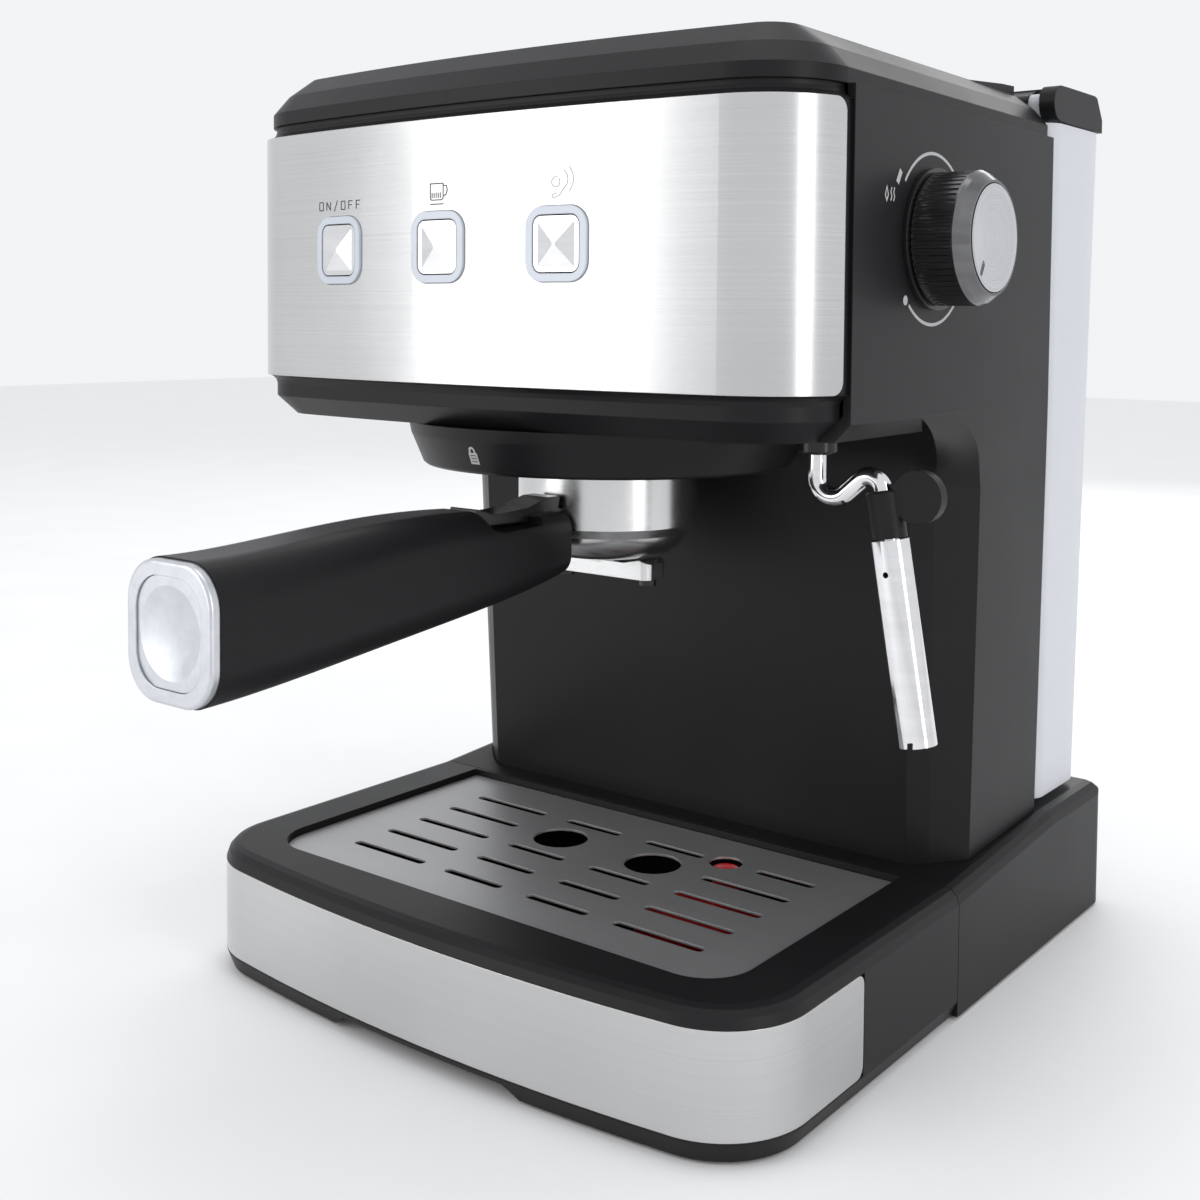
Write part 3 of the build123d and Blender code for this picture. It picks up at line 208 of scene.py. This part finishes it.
# name: maker, darker colour, lighter colour, roughness, then what only that maker takes
looks = {
    "black_plastic": (moulded, (0.007, 0.007, 0.008), (0.011, 0.011, 0.012), 0.42, {"shine": 0.2}),
    "gloss_black": (
        moulded, (0.008, 0.008, 0.009), (0.012, 0.012, 0.013), 0.22,
        {"strength": 0.05, "coat": 0.2, "shine": 0.3},
    ),
    "grey_plastic": (moulded, (0.16, 0.16, 0.16), (0.21, 0.21, 0.21), 0.5, {}),
    "rubber": (moulded, (0.012, 0.012, 0.012), (0.022, 0.022, 0.022), 0.75, {"grain": 1500}),
    "hose": (moulded, (0.60, 0.61, 0.59), (0.72, 0.73, 0.71), 0.35, {"strength": 0.05}),
    "board": (moulded, (0.02, 0.14, 0.06), (0.03, 0.20, 0.08), 0.4, {"grain": 900}),
    "light_ring": (
        moulded, (0.52, 0.56, 0.62), (0.58, 0.62, 0.68), 0.25, {"strength": 0.03, "coat": 0.4}
    ),
    "red_plastic": (
        moulded, (0.66, 0.010, 0.014), (0.76, 0.014, 0.018), 0.3, {"strength": 0.05, "coat": 0.3}
    ),
    "brushed_steel": (
        brushed, (0.53, 0.53, 0.53), (0.63, 0.63, 0.63), 0.22,
        {"stretch": (3, 3, 5200), "strength": 0.18, "spread": 0.06},
    ),
    "grate_steel": (
        brushed, (0.40, 0.40, 0.405), (0.52, 0.52, 0.525), 0.42,
        {"stretch": (6, 3600, 60), "strength": 0.2},
    ),
    "satin_steel": (
        brushed, (0.60, 0.60, 0.60), (0.72, 0.72, 0.72), 0.24,
        {"stretch": (300, 300, 900), "strength": 0.15},
    ),
    "bright_steel": (
        brushed, (0.58, 0.58, 0.57), (0.72, 0.72, 0.71), 0.22,
        {"stretch": (60, 60, 900), "strength": 0.15},
    ),
    "zinc": (
        brushed, (0.42, 0.43, 0.42), (0.55, 0.56, 0.54), 0.4,
        {"stretch": (400, 400, 400), "strength": 0.2},
    ),
    "cast_aluminium": (
        moulded, (0.42, 0.42, 0.41), (0.52, 0.52, 0.51), 0.5, {"grain": 700, "strength": 0.5}
    ),
    "brass": (polished, (0.52, 0.36, 0.14), (0.66, 0.48, 0.20), 0.25, {}),
    "chrome": (polished, (0.72, 0.72, 0.73), (0.82, 0.82, 0.83), 0.09, {}),
    "knob_face": (
        turned, (0.50, 0.51, 0.53), (0.66, 0.67, 0.69), 0.24,
        {"centre": tuple(at(0, KNOB_Y, KNOB_Z)), "axis": 0},
    ),
    "dark_chrome": (polished, (0.14, 0.14, 0.145), (0.20, 0.20, 0.205), 0.16, {}),
    "handle_cap": (
        brushed, (0.52, 0.54, 0.57), (0.62, 0.64, 0.67), 0.32,
        {"stretch": (260, 260, 260), "strength": 0.1},
    ),
    "print_grey": (
        moulded, (0.42, 0.42, 0.42), (0.50, 0.50, 0.50), 0.5, {"strength": 0.05, "edge": 0}
    ),
    "print_dark": (
        moulded, (0.02, 0.02, 0.02), (0.03, 0.03, 0.03), 0.5, {"strength": 0.05, "edge": 0}
    ),
}
materials = {
    name: maker(name, dark, light, rough, **more)
    for name, (maker, dark, light, rough, more) in looks.items()
}
materials["frosted_clear"] = frosted("frosted_clear")
for name, metallic in (("cast_aluminium", 1.0), ("grate_steel", 0.75)):
    bsdf = materials[name].node_tree.nodes["Principled BSDF"]
    bsdf.inputs["Metallic"].default_value = metallic

# pieces that look different from the rest of their slot
special = {
    "knob_disc": "knob_face", "steam_knob": "dark_chrome",
    "handle_end_ring": "handle_cap", "handle_end_disc": "handle_cap",
}
for row in frame["record"]["subparts"]:
    mesh = nodes[row["node"]].data
    mesh.materials.clear()
    mesh.materials.append(materials[special.get(row["node"], row["material_slot"])])
print_grey, print_dark = materials["print_grey"], materials["print_dark"]

# ---------------------------------------------------------------- printed marks
FRONT_Y, BOW = -109.5, 0.0007       # middle of the steel panel; y = FRONT_Y + BOW * x^2
SIDE_X, SIDE_START_Y = 117.0, -74.0   # the side draws in by SIDE_TAPER for each mm behind SIDE_START_Y
SIDE_TAPER = 4.5 / 157.0
COLLAR_RADIUS, COLLAR_Z = 64.0, 181.3  # the skirt widens by COLLAR_FLARE for each mm above COLLAR_Z
COLLAR_FLARE = 0.42
GROUP_Y = -34.5
LOCK_ANGLE = math.radians(-92.3)
INK = 0.05                            # height of the ink's middle over the surface
SCALE_RADIUS = 26.3                   # the scale printed round the knob


def on_panel(x, z):
    slope = 2 * BOW * x
    return at(x + INK * slope, FRONT_Y + BOW * x * x - INK, z)


def on_side(y, z):
    return at(SIDE_X - SIDE_TAPER * (y - SIDE_START_Y) + INK, y, z)


def on_collar(s, z):
    """s is measured along the skirt, from the middle of the lock mark."""
    radius = COLLAR_RADIUS + (z - COLLAR_Z) * COLLAR_FLARE + INK
    angle = LOCK_ANGLE + s / radius
    return at(radius * math.cos(angle), GROUP_Y + radius * math.sin(angle), z)


def arc(cx, cy, radius, start, stop, steps=24):
    turn_by = [math.radians(start + (stop - start) * i / steps) for i in range(steps + 1)]
    return [(cx + radius * math.cos(a), cy + radius * math.sin(a)) for a in turn_by]


def printed(name, lines, width, place, mat):
    """Flat ink lines: each is a list of points in the surface's own two coordinates."""
    bm = bmesh.new()
    for line in lines:
        points = [Vector(p) for p in line]
        closed = (points[0] - points[-1]).length < 1e-6
        sides = []
        for i, here in enumerate(points):
            before = points[i - 1] if i else (points[-2] if closed else here)
            after = points[i + 1] if i + 1 < len(points) else (points[1] if closed else here)
            a = (here - before).normalized() if before != here else (after - here).normalized()
            b = (after - here).normalized() if after != here else a
            along = (a + b).normalized() if (a + b).length > 1e-6 else a
            normal = Vector((-along.y, along.x))
            reach = width / 2 / max(0.5, abs(normal.dot(Vector((-a.y, a.x)))))
            sides.append((here + normal * reach, here - normal * reach))
        pairs = [(bm.verts.new(place(*p)), bm.verts.new(place(*q))) for p, q in sides]
        for (p0, q0), (p1, q1) in zip(pairs, pairs[1:]):
            bm.faces.new((p0, p1, q1, q0))
    mesh = bpy.data.meshes.new(name)
    bm.to_mesh(mesh)
    bm.free()
    mesh.materials.append(mat)
    obj = bpy.data.objects.new(name, mesh)
    bpy.context.collection.objects.link(obj)
    thick = obj.modifiers.new("thick", "SOLIDIFY")
    thick.thickness = 0.00004
    thick.offset = 0
    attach(obj, "machine")


def dot(cx, cy, radius):
    """A filled dot as one closed ring as wide as its radius."""
    return [arc(cx, cy, radius / 2, 0, 360, 20)]


LETTERS = {
    "O": [[
        (0.1, 0), (0, 0.3), (0, 2.4), (0.1, 2.7), (1.9, 2.7), (2, 2.4), (2, 0.3), (1.9, 0), (0.1, 0)
    ]],
    "N": [[(0, 0), (0, 2.7)], [(0, 2.7), (2, 0)], [(2, 0), (2, 2.7)]],
    "F": [[(0, 0), (0, 2.7), (2, 2.7)], [(0, 1.4), (1.6, 1.4)]],
    "/": [[(0.2, -0.5), (1.9, 3.1)]],
}
WORD_X, WORD_Z = -57.5, 265.9
word, pitch_x = "ON/OFF", 3.9
on_off = []
for i, letter in enumerate(word):
    shift = WORD_X - pitch_x * (len(word) - 1) / 2 - 1.0 + pitch_x * i
    on_off += [[(x + shift, z + WORD_Z) for x, z in line] for line in LETTERS[letter]]
printed("mark_on_off", on_off, 0.34, on_panel, print_dark)

cup = [
    [
        (-13.4, 272.2), (-13.4, 267.6), (-12.8, 267.1), (-8.4, 267.1), (-7.8, 267.6), (-7.8, 272.2),
        (-13.4, 272.2),
    ],
    [(-7.8, 271.6), (-6.3, 271.4), (-6.0, 269.9), (-6.6, 268.6), (-7.8, 268.2)],
    [(-13.4, 265.8), (-7.6, 265.8)],
]
cup += [[(-12.6 + 0.9 * i, 267.7), (-12.6 + 0.9 * i, 269.4)] for i in range(5)]
printed("mark_cup", cup, 0.36, on_panel, print_dark)

steam = [
    arc(37.0, 270.6, 1.5, 60, 400), arc(38.2, 271.2, 3.2, -60, 60, 12),
    [(39.8, 268.5), (38.4, 266.6), (36.0, 265.9), (35.6, 266.9), (37.6, 267.4)],
    arc(38.6, 271.2, 4.8, -50, 50, 12),
]
printed("mark_steam", steam, 0.36, on_panel, print_grey)

scale = {
    "knob_scale_top": ([arc(KNOB_Y, KNOB_Z, SCALE_RADIUS, 40, 141)], 1.0),
    "knob_scale_low": ([arc(KNOB_Y, KNOB_Z, SCALE_RADIUS, 231, 325)], 1.0),
    "knob_scale_tip": ([[(-46.4, 271.2), (-44.0, 275.0)]], 2.0),
    "knob_off_dot": (dot(-39.6, 236.6, 1.5), 1.5),
}
for name, (lines, width) in scale.items():
    printed(name, lines, width, on_side, print_grey)
drop = [[(-53.4, 269.6), (-54.4, 267.2), (-53.4, 265.6), (-52.4, 267.2), (-53.4, 269.6)]]
waves = [
    [(x, 265.6), (x + 0.7, 267.0), (x, 268.2), (x + 0.7, 269.6)] for x in (-50.8, -48.9)
]
printed("knob_steam_mark", drop + waves, 0.55, on_side, print_grey)
lock = [
    [(-1.5, 184.2), (1.5, 184.2), (1.5, 187.2), (-1.5, 187.2), (-1.5, 184.2)],
    [(-1.0, 185.2), (1.0, 185.2)], [(-1.0, 186.2), (1.0, 186.2)],
    [(-1.0, 187.2)] + arc(0, 188.2, 1.0, 180, 0, 10) + [(1.0, 187.2)],
]
printed("lock_mark", lock, 0.7, on_collar, print_grey)

# ---------------------------------------------------------------- light, floor and camera
world = bpy.data.worlds.new("studio")
bpy.context.scene.world = world
world.use_nodes = True
world.node_tree.nodes["Background"].inputs["Color"].default_value = (0.97, 0.98, 1.0, 1)
world.node_tree.nodes["Background"].inputs["Strength"].default_value = 0.92


def area_light(name, place, target, size, power):
    data = bpy.data.lights.new(name, "AREA")
    data.shape = "RECTANGLE"
    data.size, data.size_y = size
    data.energy = power
    lamp = bpy.data.objects.new(name, data)
    lamp.location = place
    lamp.rotation_euler = (Vector(target) - Vector(place)).to_track_quat("-Z", "Y").to_euler()
    bpy.context.collection.objects.link(lamp)


area_light("key", (-0.85, -1.25, 0.62), (0, 0, 0.18), (0.7, 1.3), 5.5)
area_light("side", (1.5, -0.3, 0.55), (0, 0, 0.15), (0.35, 1.3), 5)
area_light("top", (0.0, 0.1, 1.7), (0, 0, 0.2), (1.0, 1.0), 4)
area_light("back", (-0.4, 1.5, 0.8), (0, 0, 0.2), (1.0, 0.7), 4)

floor_mat = moulded(
    "floor_paper", (0.88, 0.88, 0.88), (0.90, 0.90, 0.90), 0.7, grain=300, strength=0.02, edge=0
)
floor_mesh = bpy.data.meshes.new("floor")
bm = bmesh.new()
bmesh.ops.create_grid(bm, x_segments=4, y_segments=4, size=4)
bm.to_mesh(floor_mesh)
bm.free()
floor_mesh.materials.append(floor_mat)
floor = bpy.data.objects.new("floor", floor_mesh)
bpy.context.collection.objects.link(floor)

# where the camera stands in the machine frame, how it is turned, its sensor and lens in millimetres,
# and its shifts as shares of the picture's width
CAMERA_PLACE = (324.87, -456.39, 231.45)
YAW, PITCH, ROLL = (math.radians(angle) for angle in (37.78, 2.79, 0.45))
SENSOR, LENS = 36, 45.7491
SHIFT_X, SHIFT_Y = -0.0025833, -0.1753333

camera_data = bpy.data.cameras.new("camera")
camera = bpy.data.objects.new("camera", camera_data)
bpy.context.collection.objects.link(camera)
back = Vector((math.sin(YAW) * math.cos(PITCH), -math.cos(YAW) * math.cos(PITCH), math.sin(PITCH)))
right = Vector((0, 0, 1)).cross(back).normalized()
up = back.cross(right)
right, up = (
    right * math.cos(ROLL) + up * math.sin(ROLL), up * math.cos(ROLL) - right * math.sin(ROLL)
)
turn = Matrix((right, up, back)).transposed().to_4x4()
camera.matrix_world = Matrix.Translation(at(*CAMERA_PLACE)) @ turn
camera_data.sensor_width = SENSOR
camera_data.lens = LENS
camera_data.shift_x = SHIFT_X
camera_data.shift_y = SHIFT_Y
camera_data.clip_start = 0.01
bpy.context.scene.camera = camera
bpy.context.scene.view_settings.view_transform = "Standard"
